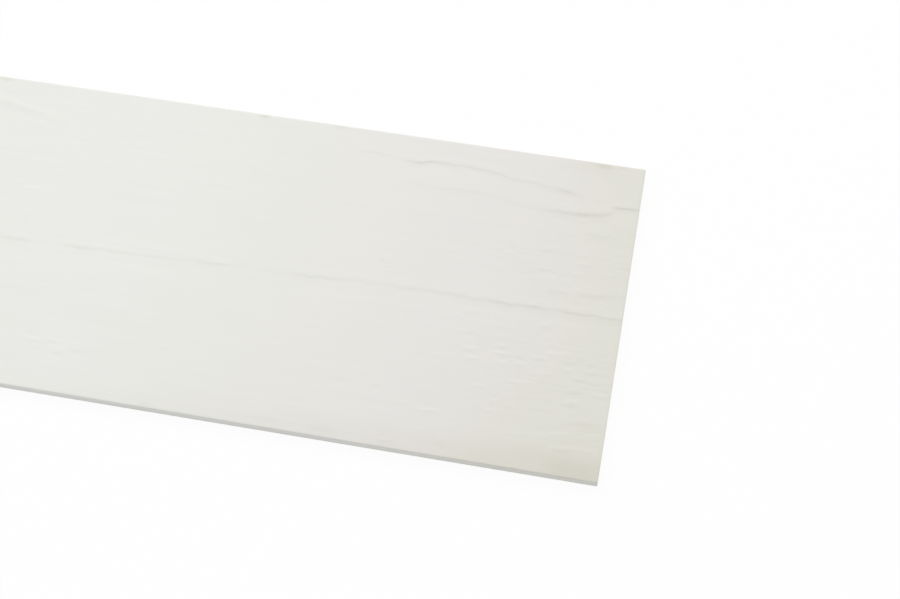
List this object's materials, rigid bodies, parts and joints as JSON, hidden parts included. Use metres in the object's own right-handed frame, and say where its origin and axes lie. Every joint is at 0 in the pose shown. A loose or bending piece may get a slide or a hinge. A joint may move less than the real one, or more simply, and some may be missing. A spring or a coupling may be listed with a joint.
{
  "type": "fibre cement plank",
  "caption": "Long flat fibre cement cladding plank with a white painted wood-grain face, eased long edges and square sawn ends, fixed to battens in lapped rows.",
  "frame": {"origin": "middle of the back, on the surface that the plank lies on", "axes": "+X along the plank, +Y across it, +Z out of the wood-grain face"},
  "size_m": [3.6, 0.19, 0.01],
  "materials": {
    "painted_fibre_cement": "matte"
  },
  "bodies": {
    "root": {"plank": "painted_fibre_cement"}
  },
  "joints": []
}
